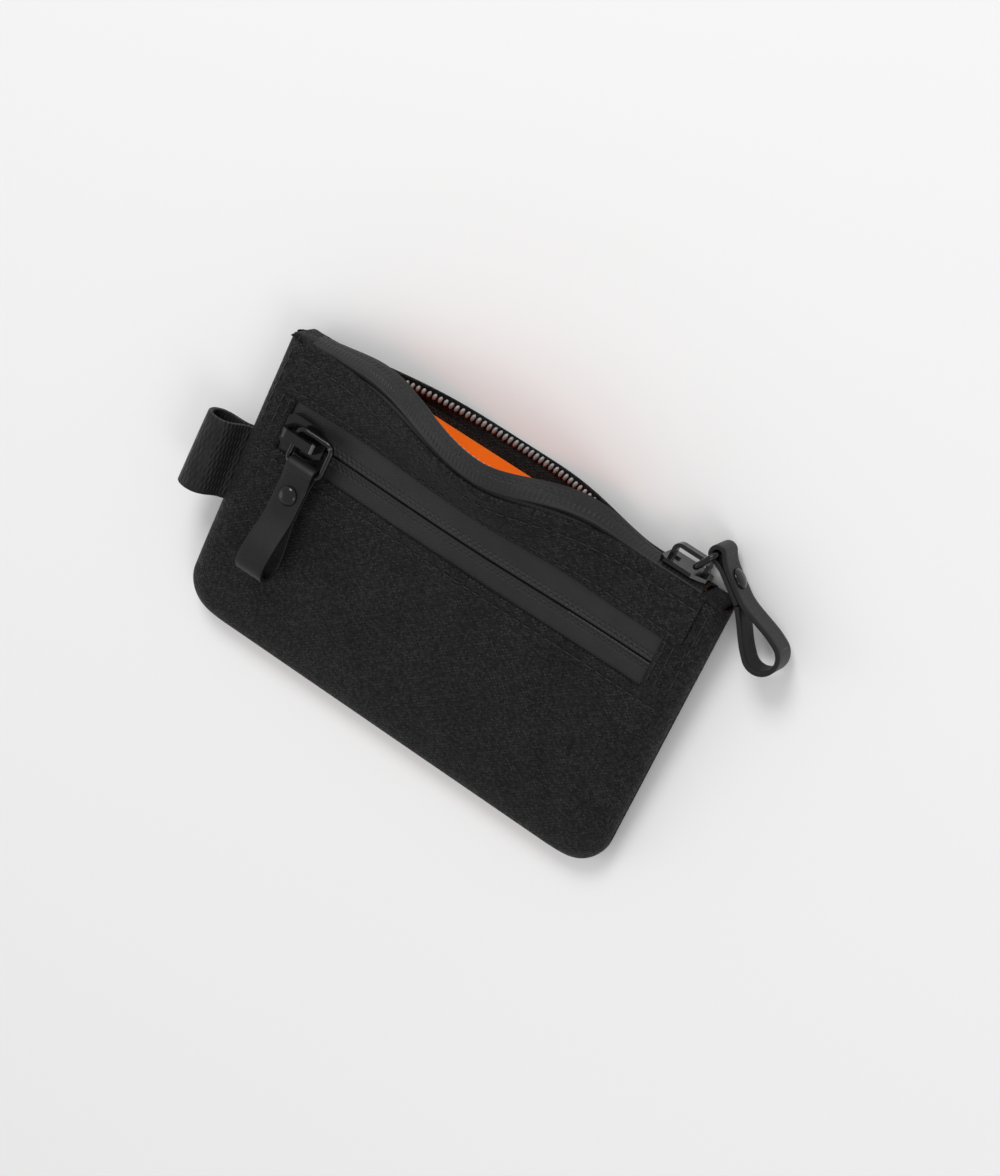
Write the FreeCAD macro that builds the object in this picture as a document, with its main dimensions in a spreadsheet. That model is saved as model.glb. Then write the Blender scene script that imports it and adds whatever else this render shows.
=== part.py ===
import FreeCAD, Part
import os
import math
from FreeCAD import Vector as V

os.makedirs("parts", exist_ok=True)
doc = FreeCAD.newDocument("zippered_pouch")

# ---------------------------------------------------------------- driving sizes, mm
SIZES = [
    ("half_width", 63), ("half_height", 38), ("corner_radius", 9.5),
    ("body_depth_top", 12), ("body_depth_bottom", 4.6), ("wall", 0.9), ("lining_wall", 0.4),
    ("bow_center", 0), ("bow_reach", 60), ("bow_reach_right", 43.5), ("pocket_bow", 3),
    ("flap_turn", 54), ("lip_turn", 92.8), ("back_turn", 80),
    ("window_low", 11.4), ("window_high", 25), ("window_half", 54),
    ("tape_width", 6.4), ("tape_wall", 0.5), ("coil_dia", 1.6),
    ("webbing_width", 20), ("webbing_wall", 1.2),
    ("slider_len", 12), ("slider_wide", 8.6), ("plate_wall", 1.0),
    ("crown_wide", 2.4), ("crown_wall", 1.0),
    ("wire_dia", 1.5), ("strap_len", 29.6), ("strap_width", 7.7), ("ply_wall", 1.2),
    ("loop_radius", 3.5), ("eye_radius", 1.05), ("rivet_at", 7), ("rivet_radius", 2.5), ("post_radius", 0.9),
    ("main_x", 49), ("main_y", 38.75), ("main_z", 6), ("pocket_x", -47), ("pocket_y", 18.2), ("pocket_z", 10.55),
    ("main_angle", 37), ("tab_length", 8),
]
sheet = doc.addObject("Spreadsheet::Sheet", "dims")
for row, (alias, value) in enumerate(SIZES, 1):
    sheet.set("A%d" % row, alias)
    sheet.set("B%d" % row, str(value))
    sheet.setAlias("B%d" % row, alias)
doc.recompute()


def d(alias):
    return float(getattr(sheet, alias))


HW, HH, RC = d("half_width"), d("half_height"), d("corner_radius")
made = []


def step01(t):
    t = min(1.0, max(0.0, t))
    return t * t * (3 - 2 * t)


def bow(x):
    # how far the mouth is open at x: 0 at the zip's ends, 1 at the widest place
    c, r, q = d("bow_center"), d("bow_reach"), d("bow_reach_right")
    return step01((x + r) / (c + r)) if x < c else step01((q - x) / (q - c))


def half_x(y):
    # half width of the outline, with rounded bottom corners
    low = -HH + RC
    return HW if y >= low else HW - RC + math.sqrt(max(0.0, RC * RC - (low - y) ** 2))


def lerp(a, b, t):
    return a + (b - a) * t


def table(y, pairs):
    if y <= pairs[0][0]:
        return pairs[0][1]
    for (y0, z0), (y1, z1) in zip(pairs, pairs[1:]):
        if y <= y1:
            return lerp(z0, z1, (y - y0) / (y1 - y0))
    return pairs[-1][1]


def seam_z(y):
    return table(y, [(-HH, 2.4), (HH, 6.0)])


def edge(x, y, reach=7.0):
    # 0 on the side seam, 1 where the panel lies flat
    t = min(1.0, max(0.0, (half_x(y) - abs(x)) / reach))
    return math.sqrt(1 - (1 - t) ** 2)


def back_z(x, y):
    return (seam_z(y) - 0.6) * (1 - edge(x, y))


def front_z(x, y):
    top = table(y, [(-HH, 3.6), (-36, 6.0), (-32, 7.8), (-22, 9.6), (0, 11.2), (25, 12.0), (HH, 12.0)])
    lift = d("pocket_bow") * bow(x) * max(0.0, min(1.0, (y + HH) / (25 + HH))) ** 4
    s = seam_z(y) + 0.6
    return s + (top + lift - s) * edge(x, y)


def turn(p, c, deg):
    a = math.radians(deg)
    u, v = p[0] - c[0], p[1] - c[1]
    return (c[0] + u * math.cos(a) - v * math.sin(a), c[1] + u * math.sin(a) + v * math.cos(a))


def feature(name, shape):
    o = doc.addObject("Part::Feature", name)
    o.Shape = shape
    o.Placement = FreeCAD.Placement()
    o.Label = name
    made.append(o)
    return o


def poly(points):
    return Part.makePolygon(points + [points[0]])


def loft(name, wires):
    return feature(name, Part.makeLoft(wires, True, True))


def sheet_y(name, y0, y1, n, low, high, inset=0.0, xs=15, x_lim=None):
    # thin panel lofted along Y through sections that run across X; low and high give its two faces
    wires = []
    for k in range(n + 1):
        y = lerp(y0, y1, k / n)
        w = half_x(y) - inset
        if x_lim:
            w = min(w, x_lim)
        fr = [-1, -0.985, -0.96, -0.925, -0.89] + [lerp(-0.8, 0.8, i / (xs - 1)) for i in range(xs)] + [0.89, 0.925, 0.96, 0.985, 1]
        pts = [V(f * w, y, low(f * w, y)) for f in fr] + [V(f * w, y, high(f * w, y)) for f in reversed(fr)]
        wires.append(poly(pts))
    return loft(name, wires)


W, LW = d("wall"), d("lining_wall")
# ---------------------------------------------------------------- body panels
sheet_y("back_panel", -HH, HH - 0.3, 14, back_z, lambda x, y: back_z(x, y) + W, inset=0.05)
sheet_y("back_lining", -HH + 3, HH - 1.2, 10, lambda x, y: back_z(x, y) + W + 0.15, lambda x, y: back_z(x, y) + W + 0.15 + LW, inset=4)
WL, WH, WX = d("window_low"), d("window_high"), d("window_half")
sheet_y("front_lower_panel", -HH, WL, 12, lambda x, y: front_z(x, y) - W, front_z, inset=0.05)
sheet_y("pocket_bag", -HH + 5, 9.8, 9, lambda x, y: front_z(x, y) - W - 0.35 - LW, lambda x, y: front_z(x, y) - W - 0.35, inset=6)


def lining_z(x, y):
    # the compartment's front lining hangs straight behind the pocket, clear of the pocket slider
    lift = d("pocket_bow") * bow(x) * max(0.0, min(1.0, (y + HH) / (25 + HH))) ** 4
    off = table(y, [(-HH, 2.3), (8, 2.3), (13, 4.4), (HH, 4.4)])
    return max(front_z(x, y) - lift * edge(x, y) - off, back_z(x, y) + 2.2)


sheet_y("front_lining", -HH + 5, WH - 2, 10, lambda x, y: lining_z(x, y) - LW, lining_z, inset=6)


for side, nm in ((-1, "left"), (1, "right")):
    # the front panel's side strip, past the ends of the pocket window, round to the side seam
    wires = []
    for k in range(9):
        y = lerp(WL + 0.15, HH - 0.5, k / 8)
        xr = [57.8, 58.6, 59.4, 60.2, 61.0, 61.6, 62.2, 62.6, 62.95]
        pts = [V(side * x, y, front_z(x, y) - W) for x in xr] + [V(side * x, y, front_z(x, y)) for x in reversed(xr)]
        wires.append(poly(pts))
    loft("front_side_" + nm, wires)


# ---------------------------------------------------------------- strips that run along X
def strip_x(name, section, x0, x1, n, extra=()):
    wires = []
    xs = sorted(set([round(lerp(x0, x1, k / n), 3) for k in range(n + 1)] + [e for e in extra if x0 < e < x1]))
    for x in xs:
        wires.append(poly([V(x, y, z) for y, z in section(x)]))
    return loft(name, wires)


def band(p, q, t):
    # a thin quadrilateral on the segment p-q, thickness t towards its right-hand side
    u, v = q[0] - p[0], q[1] - p[1]
    m = math.hypot(u, v)
    nx, ny = v / m * t, -u / m * t
    return [p, q, (q[0] + nx, q[1] + ny), (p[0] + nx, p[1] + ny)]


def dot(c, r, n=8):
    return [(c[0] + r * math.cos(2 * math.pi * i / n), c[1] + r * math.sin(2 * math.pi * i / n)) for i in range(n)]


PIV_FLAP = (25.0, 15.6)
PIV_LIP = (31.6, 17.7)
PIV_BACK = (37.6, 1.0)
TW, TT, CR = d("tape_width"), d("tape_wall"), d("coil_dia") / 2


def post_gap(x):
    # the chain's two halves stand apart just ahead of the main slider, round its post
    return 1.5 * step01(49.0 - x) * step01((x - 15) / 20)


def post_gap_pocket(x):
    return 1.9 * step01(-48.2 - x)


def fold_closed(x):
    return (38.6, 12.0 + 1.5 * bow(x))


def flap_section(x):
    b, a = bow(x), d("flap_turn") * bow(x)
    p = (25.2, front_z(x, 25) + 0.1)
    q = fold_closed(x)
    q = (q[0] - 1.0, q[1] - 0.2)
    pts = band(p, q, W)
    low = [pts[0], pts[3]]
    top = [turn(pts[1], PIV_FLAP, a), turn(pts[2], PIV_FLAP, a)]
    return [low[0], top[0], top[1], low[1]]


def front_tape(x):
    f = fold_closed(x)
    f = (f[0] + 0.4, f[1] - 0.5)
    l = (39.9, 6.5 + post_gap(x))
    return f, l


def front_tape_section(x):
    f, l = front_tape(x)
    return [turn(p, PIV_LIP, d("lip_turn") * bow(x)) for p in band(f, l, TT)]


def front_coil_section(x):
    f, l = front_tape(x)
    c = (l[0] - CR - 0.75, l[1] + CR + 0.05)
    return [turn(p, PIV_LIP, d("lip_turn") * bow(x)) for p in dot(c, CR)]


def back_tape_section(x):
    return [turn(p, PIV_BACK, -d("back_turn") * bow(x)) for p in band((39.0, 1.0), (39.9, 5.5 - post_gap(x)), -TT)[::-1]]


def back_coil_section(x):
    c = (39.9 - CR - 0.75, 5.5 - CR - 0.05 - post_gap(x))
    return [turn(p, PIV_BACK, -d("back_turn") * bow(x)) for p in dot(c, CR)]


strip_x("front_upper_panel", flap_section, -57.6, 57.6, 28)
NEAR = (47.0, 47.6, 48.0, 48.5, 49.0)
strip_x("main_zip_tape_front", front_tape_section, -55.1, 55.1, 28, NEAR)
strip_x("main_zip_coil_front", front_coil_section, -54, 54, 28, NEAR)
strip_x("main_zip_tape_back", back_tape_section, -55.1, 55.1, 28, NEAR)
strip_x("main_zip_coil_back", back_coil_section, -54, 54, 28, NEAR)


# pocket zip: two tapes and the coil, following the pocket's curve
def pz(x):
    return front_z(x, 18.2) - 0.9


def lower_tape(x):
    e = 17.9 - post_gap_pocket(x)
    f = front_z(x, 10.2) - 1.5
    return [(10.2, f + TT), (e, pz(x) - 0.35 + TT), (e, pz(x) - 0.35), (10.2, f)]


def upper_tape(x):
    e = 18.5 + post_gap_pocket(x)
    return [(e, pz(x) - 0.35 + TT), (25.6, pz(x) - 0.55 + TT), (25.6, pz(x) - 0.55), (e, pz(x) - 0.35)]


AWAY = (-49.6, -49.2, -48.9, -48.7, -48.4, -48.2)
strip_x("pocket_zip_tape_lower", lower_tape, -55, 55, 28, AWAY)
strip_x("pocket_zip_tape_upper", upper_tape, -55, 55, 28, AWAY)
strip_x("pocket_zip_coil", lambda x: dot((18.2, pz(x) - 1.25), CR), -48.7, 52, 27)


# ---------------------------------------------------------------- parametric bodies
def plane_of(body):
    return next(f for f in body.Origin.OriginFeatures if f.Role == "XY_Plane")


def new_body(name, placement=None):
    b = doc.addObject("PartDesign::Body", name)
    b.Label = name
    if placement:
        b.Placement = placement
    return b


def sketch(body, name, loops):
    # loops: lists of ("line", p, q), ("circle", c, r) or ("arc", c, r, start, end)
    s = body.newObject("Sketcher::SketchObject", name)
    s.AttachmentSupport = [(plane_of(body), "")]
    s.MapMode = "FlatFace"
    for g in loops:
        if g[0] == "circle":
            s.addGeometry(Part.Circle(V(*g[1], 0), V(0, 0, 1), g[2]), False)
        elif g[0] == "arc":
            s.addGeometry(Part.ArcOfCircle(Part.Circle(V(*g[1], 0), V(0, 0, 1), g[2]), g[3], g[4]), False)
        else:
            s.addGeometry(Part.LineSegment(V(*g[1], 0), V(*g[2], 0)), False)
    return s


def lines(points):
    return [("line", points[i], points[(i + 1) % len(points)]) for i in range(len(points))]


def pad(body, name, loops, length, offset=None, mid=False):
    s = sketch(body, name + "_sketch", loops)
    if offset is not None:
        s.AttachmentOffset = FreeCAD.Placement(V(0, 0, offset), FreeCAD.Rotation())
    f = body.newObject("PartDesign::Pad", name)
    f.Profile = s
    f.setExpression("Length", length)
    f.Midplane = mid
    return f


def pocket(body, name, loops, mid=True, length=None):
    s = sketch(body, name + "_sketch", loops)
    f = body.newObject("PartDesign::Pocket", name)
    f.Profile = s
    if length:
        f.setExpression("Length", length)
    f.Midplane = mid
    return f


def rect(x0, y0, x1, y1):
    return lines([(x0, y0), (x1, y0), (x1, y1), (x0, y1)])


def cell(alias):
    return "dims." + alias


def matrix(o, ex, ey, ez):
    m = FreeCAD.Matrix(ex[0], ey[0], ez[0], o[0], ex[1], ey[1], ez[1], o[1], ex[2], ey[2], ez[2], o[2], 0, 0, 0, 1)
    return FreeCAD.Placement(m)


SL, SW, PT = d("slider_len"), d("slider_wide"), d("plate_wall")


def slider(prefix, place):
    # slider frame: X along the zip, Y across it, Z outwards; origin on the tape's middle plane
    b = new_body(prefix + "_slider_body", place)
    half = SL / 2
    nose = SW / 2 - 2.0
    outline = lines([(-half, -nose), (-half + 3.4, -SW / 2), (half - 1.2, -SW / 2), (half, -SW / 2 + 1.2), (half, SW / 2 - 1.2), (half - 1.2, SW / 2), (-half + 3.4, SW / 2), (-half, nose)])
    pad(b, prefix + "_top_plate", outline, cell("plate_wall"), offset=1.5)
    pad(b, prefix + "_post", lines([(half - 3.6, 0), (half - 0.8, -1.3), (half - 0.4, 0), (half - 0.8, 1.3)]), "4.2", offset=-2.1)
    pad(b, prefix + "_low_plate", outline, cell("plate_wall"), offset=-2.5)
    made.append(b)
    # crown: an arch along X, open across Y
    cr = FreeCAD.Placement(place)
    up = cr.multiply(matrix((0, 0, 2.5), (1, 0, 0), (0, 0, 1), (0, -1, 0)))
    c = new_body(prefix + "_slider_crown", up)
    t = d("crown_wall")
    arch = [("line", (-5, 0), (-5, 1.9)), ("arc", (-3.1, 1.9), 1.9, math.pi / 2, math.pi), ("line", (-3.1, 3.8), (3.1, 3.8)),
            ("arc", (3.1, 1.9), 1.9, 0, math.pi / 2), ("line", (5, 1.9), (5, 0)), ("line", (5, 0), (5 - t, 0)), ("line", (5 - t, 0), (5 - t, 1.9)),
            ("arc", (3.1, 1.9), 1.9 - t, 0, math.pi / 2), ("line", (3.1, 3.8 - t), (-3.1, 3.8 - t)),
            ("arc", (-3.1, 1.9), 1.9 - t, math.pi / 2, math.pi), ("line", (-5 + t, 1.9), (-5 + t, 0)), ("line", (-5 + t, 0), (-5, 0))]
    pad(c, prefix + "_arch", arch, cell("crown_wide"), mid=True)
    made.append(c)
    # lock pin: a small leaf on the top plate under the crown, outside the ring's space
    k = doc.addObject("Part::Box", prefix + "_slider_lock_pin")
    k.Label = prefix + "_slider_lock_pin"
    k.Length, k.Width, k.Height = 1.2, 1.0, 0.5
    k.setExpression("Width", cell("crown_wall"))
    k.Placement = place.multiply(matrix((2.4, -0.5, 2.5), (1, 0, 0), (0, 1, 0), (0, 0, 1)))
    made.append(k)


main_place = matrix((d("main_x"), d("main_y"), d("main_z")), (-1, 0, 0), (0, 0, 1), (0, 1, 0))
pocket_place = matrix((d("pocket_x"), d("pocket_y"), d("pocket_z")), (-1, 0, 0), (0, -1, 0), (0, 0, 1))
slider("main", main_place)
slider("pocket", pocket_place)


def ring(name, w, length, place):
    # rounded rectangular wire ring in its own XY plane, w across and length along X from the origin
    r = d("wire_dia") / 2
    q = 1.8
    b = new_body(name, place)
    def outline(o):
        x0, x1, y0, y1 = -o, length + o, -w / 2 - o, w / 2 + o
        k = q + o
        return [("line", (x0 + k, y0), (x1 - k, y0)), ("arc", (x1 - k, y0 + k), k, -math.pi / 2, 0), ("line", (x1, y0 + k), (x1, y1 - k)),
                ("arc", (x1 - k, y1 - k), k, 0, math.pi / 2), ("line", (x1 - k, y1), (x0 + k, y1)), ("arc", (x0 + k, y1 - k), k, math.pi / 2, math.pi),
                ("line", (x0, y1 - k), (x0, y0 + k)), ("arc", (x0 + k, y0 + k), k, math.pi, 1.5 * math.pi)]
    path = sketch(b, name + "_path", outline(0))
    prof = b.newObject("Sketcher::SketchObject", name + "_wire")
    prof.AttachmentSupport = [(next(f for f in b.Origin.OriginFeatures if f.Role == "YZ_Plane"), "")]
    prof.MapMode = "FlatFace"
    prof.AttachmentOffset = FreeCAD.Placement(V(0, 0, length / 2), FreeCAD.Rotation())
    prof.addGeometry(Part.Circle(V(-w / 2, 0, 0), V(0, 0, 1), r), False)
    doc.recompute()
    f = b.newObject("PartDesign::AdditivePipe", name + "_pipe")
    f.Profile = prof
    f.Spine = path
    made.append(b)
    return b


# main pull: the ring goes through the crown and stands with its bars along Z
mx, my, mz = d("main_x"), d("main_y"), d("main_z")
ring_a = math.radians(60)
e1 = (math.cos(ring_a), math.sin(ring_a), 0)
ring_o = (mx + 2.6, my + 4.3, mz)
RL = 6.0
ring("main_pull_ring", 10.2, RL, matrix(ring_o, e1, (0, 0, 1), (math.sin(ring_a), -math.cos(ring_a), 0)))
bar = (ring_o[0] + RL * e1[0], ring_o[1] + RL * e1[1], mz)

# pocket pull: the ring lies flat, round the crown's right foot
px, py, pzz = d("pocket_x"), d("pocket_y"), d("pocket_z")
zr = pzz + 4.42
pr_o = (px + 3.9, py + 2.9, zr)
ring("pocket_pull_ring", 9.8, 9.0, matrix(pr_o, (0, -1, 0), (1, 0, 0), (0, 0, 1)))
pbar = (pr_o[0], pr_o[1] - 9.0, zr)


def strap(prefix, place):
    # strap frame: X away from the ring's bar, Y across the plies, Z along the width
    n, r, T = d("strap_len"), d("loop_radius"), d("ply_wall")
    ro, eo = r + T, d("eye_radius") + T
    cx = n - ro
    wide = cell("strap_width")
    b = new_body(prefix + "_pull_strap_raw", place)
    pad(b, prefix + "_eye", [("circle", (0, 0), eo)], wide, mid=True)
    pad(b, prefix + "_plies", rect(0.5, -T, 12.5, T), wide, mid=True)
    def drop(a, rad, flat):
        dx = cx - a
        al = math.acos((rad - flat) / dx)
        tx, ty = cx - rad * math.cos(al), rad * math.sin(al)
        g = [("line", (a, flat), (tx, ty)), ("arc", (cx, 0), rad, -(math.pi - al), math.pi - al), ("line", (tx, -ty), (a, -flat))]
        return g
    # tangent from (a, flat) to the end circle, found by the triangle between the centre and the start
    def tear(a, flat, rad):
        dist = math.hypot(cx - a, flat)
        base = math.atan2(-flat, cx - a)
        th = base + math.asin(rad / dist)
        L = math.sqrt(dist * dist - rad * rad)
        tx, ty = a + L * math.cos(th), flat + L * math.sin(th)
        ang = math.atan2(ty, tx - cx)
        g = [("line", (a, flat), (tx, ty)), ("arc", (cx, 0), rad, -ang, ang), ("line", (tx, -ty), (a, -flat))]
        if flat > 1e-9:
            g.append(("line", (a, -flat), (a, flat)))
        return g
    pad(b, prefix + "_loop", tear(11.5, T, ro), wide, mid=True)
    f = pocket(b, prefix + "_eye_hole", [("circle", (0, 0), d("eye_radius"))], mid=True, length="dims.strap_width + 4")
    g = pocket(b, prefix + "_loop_hole", tear(12.8, 0.0, r), mid=True, length="dims.strap_width + 4")
    # rivet hole through both plies
    h = doc.addObject("Part::Cylinder", prefix + "_rivet_hole")
    h.setExpression("Radius", cell("post_radius"))
    h.Height = 8
    at = matrix((d("rivet_at"), 4, 0), (1, 0, 0), (0, 0, 1), (0, -1, 0))
    h.Placement = place.multiply(at)
    c = doc.addObject("Part::Cut", prefix + "_pull_strap")
    c.Base, c.Tool = b, h
    c.Label = prefix + "_pull_strap"
    made.append(c)
    # rivet: domed cap with its post, and a flat back cap
    R, pr = d("rivet_radius"), d("post_radius") - 0.04
    cap = new_body(prefix + "_pull_rivet_cap", place.multiply(matrix((d("rivet_at"), 0, 0), (1, 0, 0), (0, 1, 0), (0, 0, 1))))
    zt = T + 0.05
    s = sketch(cap, prefix + "_cap_profile", [("line", (0, -zt), (pr, -zt)), ("line", (pr, -zt), (pr, zt)), ("line", (pr, zt), (R, zt)), ("line", (R, zt), (R, zt + 0.3)),
               ("line", (R, zt + 0.3), (R * 0.8, zt + 0.8)), ("line", (R * 0.8, zt + 0.8), (R * 0.4, zt + 1.1)), ("line", (R * 0.4, zt + 1.1), (0, zt + 1.2)), ("line", (0, zt + 1.2), (0, -zt))])
    rv = cap.newObject("PartDesign::Revolution", prefix + "_cap_turned")
    rv.Profile = s
    rv.ReferenceAxis = (s, ["V_Axis"])
    rv.Angle = 360
    made.append(cap)
    bk = doc.addObject("Part::Cylinder", prefix + "_pull_rivet_back")
    bk.setExpression("Radius", cell("rivet_radius"))
    bk.Height = 0.6
    bk.Placement = place.multiply(matrix((d("rivet_at"), -zt, 0), (1, 0, 0), (0, 0, 1), (0, -1, 0)))
    bk.Label = prefix + "_pull_rivet_back"
    made.append(bk)


sa = math.radians(-d("main_angle"))
strap("main", matrix(bar, (math.cos(sa), math.sin(sa), 0), (-math.sin(sa), math.cos(sa), 0), (0, 0, 1)))
pt = math.radians(2)
strap("pocket", matrix(pbar, (0, -math.cos(pt), math.sin(pt)), (0, math.sin(pt), math.cos(pt)), (-1, 0, 0)))

# ---------------------------------------------------------------- side loop of webbing, folded in a teardrop
wt, fold_r = d("webbing_wall"), 3.0
dirx, dirz = -9.4, 6.4
ang = math.atan2(dirz, -dirx)
loop_place = matrix((-HW + 0.2, -9.0, 5.9), (-math.cos(ang), 0, math.sin(ang)), (math.sin(ang), 0, math.cos(ang)), (0, 1, 0))
lb = new_body("side_webbing_loop", loop_place)
reach_l = 12.2
co = reach_l - fold_r - wt


def tear2(a, flat, rad, cx):
    dist = math.hypot(cx - a, flat)
    th = math.atan2(-flat, cx - a) + math.asin(rad / dist)
    L = math.sqrt(dist * dist - rad * rad)
    tx, ty = a + L * math.cos(th), flat + L * math.sin(th)
    an = math.atan2(ty, tx - cx)
    g = [("line", (a, flat), (tx, ty)), ("arc", (cx, 0), rad, -an, an), ("line", (tx, -ty), (a, -flat))]
    if flat > 1e-9:
        g.append(("line", (a, -flat), (a, flat)))
    return g


s_out = pad(lb, "loop_outer", tear2(0.6, wt, fold_r + wt, co), cell("webbing_width"))
s_in = pocket(lb, "loop_inner", tear2(1.8, 0.0, fold_r, co), mid=True, length="dims.webbing_width * 2 + 6")
made.append(lb)


# ---------------------------------------------------------------- end tabs and stops
def rounded_box(name, x0, x1, y0, y1, z0, z1, fillet):
    b = doc.addObject("Part::Box", name + "_blank")
    b.Length, b.Width, b.Height = x1 - x0, y1 - y0, z1 - z0
    b.setExpression("Length", "dims.tab_length * %.6f" % ((x1 - x0) / d("tab_length")))
    b.Placement = FreeCAD.Placement(V(x0, y0, z0), FreeCAD.Rotation())
    doc.recompute()
    f = doc.addObject("Part::Fillet", name)
    f.Base = b
    f.Edges = [(i + 1, fillet, fillet) for i in range(len(b.Shape.Edges))]
    f.Label = name
    made.append(f)


for side, nm in ((-1, "left"), (1, "right")):
    a, b_ = sorted((side * 55.5, side * 61.6))
    rounded_box("zip_end_tab_" + nm, a, b_, 38.1, 39.1, 1.4, 10.6, 0.4)
    a, b_ = sorted((side * 53.2, side * 57.6))
    z0 = front_z(side * 55, 18) + 0.1
    rounded_box("pocket_end_tab_" + nm, a, b_, 11.8, 24.6, z0 - 0.15, z0 + 0.65, 0.35)
doc.recompute()
names = []
for o in doc.Objects:
    if "Invalid" in o.State or "Error" in o.State:
        raise RuntimeError("failed object: %s %s" % (o.Name, o.State))
for o in made:
    s = o.Shape
    if s.isNull() or not s.isValid() or not s.Solids or s.Volume <= 0:
        raise RuntimeError("bad shape: %s solids=%d valid=%s" % (o.Label, len(s.Solids), s.isValid()))
    bb = s.BoundBox
    print("%-26s solids %d vol %8.1f  x %.1f %.1f  y %.1f %.1f  z %.1f %.1f" % (o.Label, len(s.Solids), s.Volume, bb.XMin, bb.XMax, bb.YMin, bb.YMax, bb.ZMin, bb.ZMax))
    s.exportStep("parts/%s.step" % o.Label)
    names.append(o.Label)
print("bars", bar, pbar, ring_o, pr_o)
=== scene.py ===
import bpy, math
import numpy as np
from mathutils import Matrix, Vector, noise


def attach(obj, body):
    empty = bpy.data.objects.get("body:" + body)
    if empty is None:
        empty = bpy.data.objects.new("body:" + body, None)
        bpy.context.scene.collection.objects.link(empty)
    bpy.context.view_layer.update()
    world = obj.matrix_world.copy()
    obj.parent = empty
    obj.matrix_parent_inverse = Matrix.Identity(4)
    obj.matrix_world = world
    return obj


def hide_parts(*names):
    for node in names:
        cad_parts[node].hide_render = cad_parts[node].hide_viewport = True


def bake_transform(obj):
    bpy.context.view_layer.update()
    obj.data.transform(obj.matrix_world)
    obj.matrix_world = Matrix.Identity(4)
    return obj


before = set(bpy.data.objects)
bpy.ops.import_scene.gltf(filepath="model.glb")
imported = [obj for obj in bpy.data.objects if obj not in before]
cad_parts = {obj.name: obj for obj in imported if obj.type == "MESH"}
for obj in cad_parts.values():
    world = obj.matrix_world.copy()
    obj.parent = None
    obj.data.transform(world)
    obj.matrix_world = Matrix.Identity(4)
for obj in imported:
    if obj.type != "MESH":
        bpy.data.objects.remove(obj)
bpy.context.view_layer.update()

# ------------------------------------------------------------------ shape functions, mm
HW, HH, RC = 63.0, 38.0, 9.5
WL, WH = 11.4, 25.0
PIV_FLAP, PIV_LIP, PIV_BACK = (25.0, 15.6), (31.6, 17.7), (37.6, 1.0)
FLAP_TURN, LIP_TURN, BACK_TURN = 54.0, 92.8, 80.0
BOW_C, BOW_L, BOW_R = 0.0, -60.0, 43.5


def step01(t):
    t = min(1.0, max(0.0, t))
    return t * t * (3 - 2 * t)


def bow(x):
    return step01((x - BOW_L) / (BOW_C - BOW_L)) if x < BOW_C else step01((BOW_R - x) / (BOW_R - BOW_C))


def lerp(a, b, t):
    return a + (b - a) * t


def table(y, pairs):
    if y <= pairs[0][0]:
        return pairs[0][1]
    for (y0, z0), (y1, z1) in zip(pairs, pairs[1:]):
        if y <= y1:
            t = (y - y0) / (y1 - y0)
            return lerp(z0, z1, t)
    return pairs[-1][1]


def half_x(y):
    low = -HH + RC
    return HW if y >= low else HW - RC + math.sqrt(max(0.0, RC * RC - (low - y) ** 2))


def seam_z(y):
    return table(y, [(-HH, 2.4), (HH, 6.0)])


def edge(x, y, reach=7.0):
    t = min(1.0, max(0.0, (half_x(y) - abs(x)) / reach))
    return math.sqrt(max(0.0, 1 - (1 - t) ** 2))


def back_z(x, y):
    return (seam_z(y) - 0.6) * (1 - edge(x, y))


def top_z(y):
    # smooth front profile from the bottom seam to the pocket
    t = min(1.0, max(0.0, (y + HH) / 30.0))
    return 3.6 + 6.6 * math.sqrt(max(0.0, 1 - (1 - t) ** 2.4)) + 1.8 * min(1.0, max(0.0, (y + 22) / 47))


def front_z(x, y):
    lift = 3.0 * bow(x) * max(0.0, min(1.0, (y + HH) / (25 + HH))) ** 4
    s = seam_z(y) + 0.6
    return s + (top_z(y) + lift - s) * edge(x, y)


def turn(p, c, deg):
    a = math.radians(deg)
    u, v = p[0] - c[0], p[1] - c[1]
    return (c[0] + u * math.cos(a) - v * math.sin(a), c[1] + u * math.sin(a) + v * math.cos(a))


def n3(x, y, s, seed=0.0):
    return noise.noise(Vector((x / s + seed, y / s - seed, seed * 1.7)))


def creases(x, y):
    # soft undulation of the cloth and a few drag lines towards the lower right corner
    v = 0.7 * n3(x, y, 26, 3.1) + 0.3 * n3(x, y * 1.6, 9, 7.7)
    for cx, cy, ang, ln, amp in ((44, -22, -58, 15, -0.55), (37, -26, -66, 12, -0.4), (50, -14, -50, 11, -0.4), (-52, -16, 48, 12, -0.3), (20, -29, -78, 9, -0.3), (52, 3, 20, 10, -0.3)):
        a = math.radians(ang)
        u, w = (x - cx) * math.cos(a) + (y - cy) * math.sin(a), -(x - cx) * math.sin(a) + (y - cy) * math.cos(a)
        v += 1.9 * amp * math.exp(-(u / ln) ** 2 - (w / 1.8) ** 2)
    return v


# ------------------------------------------------------------------ mesh helpers
def obj_from(name, verts, faces, smooth=True):
    me = bpy.data.meshes.new(name)
    me.from_pydata([(v[0] / 1000, v[1] / 1000, v[2] / 1000) for v in verts], [], faces)
    me.validate()
    me.update()
    if smooth:
        me.polygons.foreach_set("use_smooth", [True] * len(me.polygons))
    o = bpy.data.objects.new(name, me)
    bpy.context.scene.collection.objects.link(o)
    return o


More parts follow.
